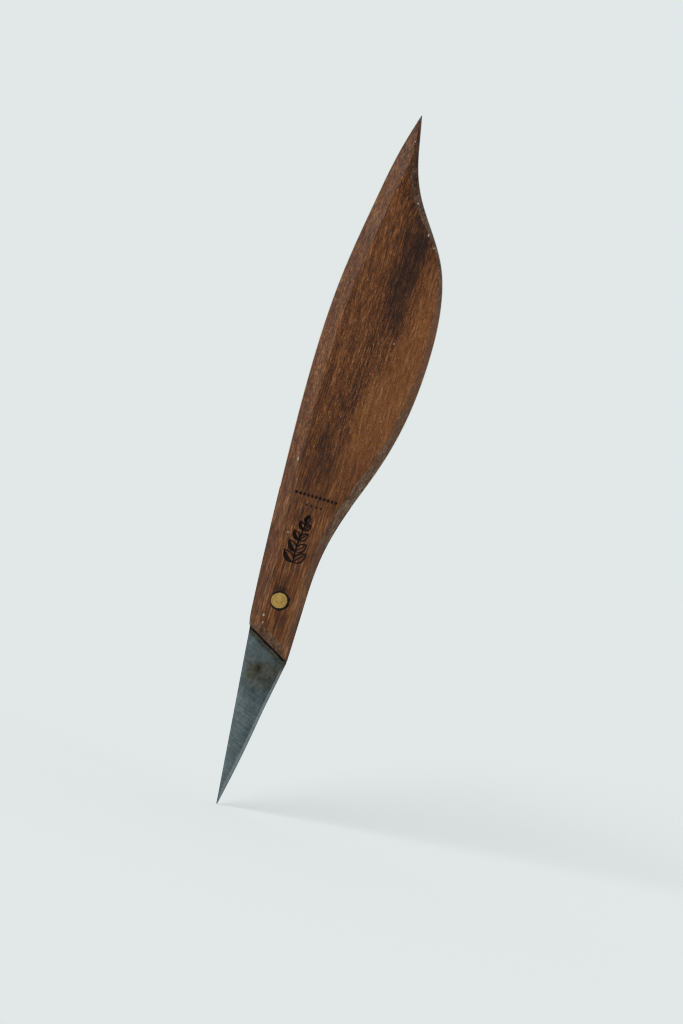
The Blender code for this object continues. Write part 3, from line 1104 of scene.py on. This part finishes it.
def make_pin_smear(name, side, material):
    """A ring of adhesive round the pin, which is widest where the hole is."""
    chance = random.Random(21 if side < 0 else 22)
    face = neck_half_thickness - pin_recess
    wood = pin_recess + 0.005 * MM
    phases = [chance.uniform(0, math.tau) for _ in range(3)]
    rings = []
    for angle in np.linspace(0, math.tau, smear_points, endpoint=False):
        wide = (0.5 + 0.5 * math.cos(angle - smear_angle)) ** 1.2
        flat = max(abs(math.sin(angle - tool_lean)) ** 2, 0.6 * wide)
        waves = [math.sin((3 + 4 * i) * angle + phase) for i, phase in enumerate(phases)]
        uneven_by = 1 + 0.09 * sum(waves)
        lap = (smear_lap[0] + (smear_lap[1] - smear_lap[0]) * flat) * uneven_by
        reach = (smear_reach[0] + (smear_reach[1] - smear_reach[0]) * wide) * uneven_by
        inner = pin_diameter / 2 - lap
        outer = pin_diameter / 2 + reach
        root_in, root_out = (pin_diameter / 2 + gap for gap in smear_root)
        top = wood + smear_height * (0.4 + 0.6 * wide)
        outline = (
            (inner, -smear_sunk),
            (inner + 0.5 * lap, top),
            (outer - smear_rim, top),
            (outer, wood),
            (root_out, wood),
            (root_out, -smear_root_depth),
            (root_in, -smear_root_depth),
            (root_in, smear_sunk / 2),
        )
        rings.append([around_pin(r, angle, side * (face + lift)) for r, lift in outline])
    smear = lofts(name, [rings], endless=True)
    shade_smooth(smear, 50)
    dress(smear, material)


def paint_cad_node(name, material):
    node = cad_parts[name]
    node.data.materials.clear()
    node.data.materials.append(material)


# ---- Stage ----------------------------------------------------------------------------------


def make_camera():
    """A camera at the photograph's angle, turned about its own axis so that the tool leans."""
    away = Vector((0, -math.cos(camera_elevation), math.sin(camera_elevation)))
    camera = bpy.data.objects.new("camera", bpy.data.cameras.new("camera"))
    bpy.context.scene.collection.objects.link(camera)
    camera.data.lens = sensor_height * camera_distance / frame_height
    camera.data.sensor_width = sensor_height
    camera.data.clip_start = 0.05
    camera.data.clip_end = 20
    level = Vector((0, 0, 1)).cross(away).normalized()
    upright = away.cross(level)
    right = level * math.cos(tool_lean) + upright * math.sin(tool_lean)
    up = away.cross(right)
    turn = Matrix((right, up, away)).transposed()
    camera.matrix_world = Matrix.Translation(look_at + away * camera_distance) @ turn.to_4x4()
    bpy.context.scene.camera = camera


def make_light(name, place, power, color):
    """A round soft light that faces the point looked at."""
    light = bpy.data.lights.new(name, "AREA")
    light.shape = "DISK"
    light.size = light_size
    light.energy = power
    light.color = color
    lamp = bpy.data.objects.new(name, light)
    lamp.location = look_at + Vector(place)
    lamp.rotation_mode = "QUATERNION"
    lamp.rotation_quaternion = Vector(place).to_track_quat("Z", "Y")
    lamp.visible_camera = False
    bpy.context.scene.collection.objects.link(lamp)


def make_world():
    """A pale backdrop, and softer room light that is dimmer in front of the tool."""
    world = bpy.data.worlds.new("studio")
    bpy.context.scene.world = world
    world.use_nodes = True
    nodes, links = world.node_tree.nodes, world.node_tree.links
    backdrop = nodes["Background"]
    backdrop.inputs["Color"].default_value = backdrop_color
    direction = nodes.new("ShaderNodeSeparateXYZ")
    links.new(nodes.new("ShaderNodeTexCoord").outputs["Generated"], direction.inputs[0])
    dim = range_node(nodes, "SMOOTHSTEP", -1, 0.1, room_front, room_sides)
    links.new(direction.outputs["Y"], dim.inputs["Value"])
    fade = range_node(nodes, "LINEAR", -1, 1, 1, room_right)
    links.new(direction.outputs["X"], fade.inputs["Value"])
    strength = nodes.new("ShaderNodeMath")
    strength.operation = "MULTIPLY"
    links.new(dim.outputs["Result"], strength.inputs[0])
    links.new(fade.outputs["Result"], strength.inputs[1])
    room = nodes.new("ShaderNodeBackground")
    room.inputs["Color"].default_value = room_color
    links.new(strength.outputs[0], room.inputs["Strength"])
    choose = nodes.new("ShaderNodeMixShader")
    links.new(nodes.new("ShaderNodeLightPath").outputs["Is Camera Ray"], choose.inputs[0])
    links.new(room.outputs[0], choose.inputs[1])
    links.new(backdrop.outputs[0], choose.inputs[2])
    links.new(choose.outputs[0], nodes["World Output"].inputs["Surface"])


def make_floor():
    """A pale floor under the point, which takes the tool's shadow."""
    made = bmesh.new()
    bmesh.ops.create_circle(made, cap_ends=True, segments=128, radius=floor_radius)
    floor = new_object("floor", made)
    floor.location.z = -floor_drop
    s = Shader("floor_paint")
    grain = s.noise(s.sized(0.002, 0.002, 0.002), detail=3)
    color = s.ramp(grain, (0.3, (0.76, 0.81, 0.805)), (0.7, (0.78, 0.83, 0.825)))
    floor.data.materials.append(s.finish(Base_Color=color, Roughness=0.9))
    floor.is_shadow_catcher = True


def main():
    """Builds every visual piece, the new materials of the kept CAD nodes, and the stage."""
    bpy.context.scene.view_settings.view_transform = "Standard"
    make_handle(walnut())
    make_mark(burned_wood())
    paint_cad_node("blade", ground_steel())
    make_pin(filed_brass())
    adhesive = dark_adhesive()
    for name in ("tang_adhesive", "pin_adhesive_front", "pin_adhesive_back"):
        paint_cad_node(name, adhesive)
    make_bead("adhesive_bead_front", -1, adhesive)
    make_bead("adhesive_bead_back", 1, adhesive)
    make_pin_smear("pin_smear_front", -1, adhesive)
    make_pin_smear("pin_smear_back", 1, adhesive)
    make_camera()
    make_world()
    for name, place, power, color in lights:
        make_light(name, place, power, color)
    make_floor()


main()
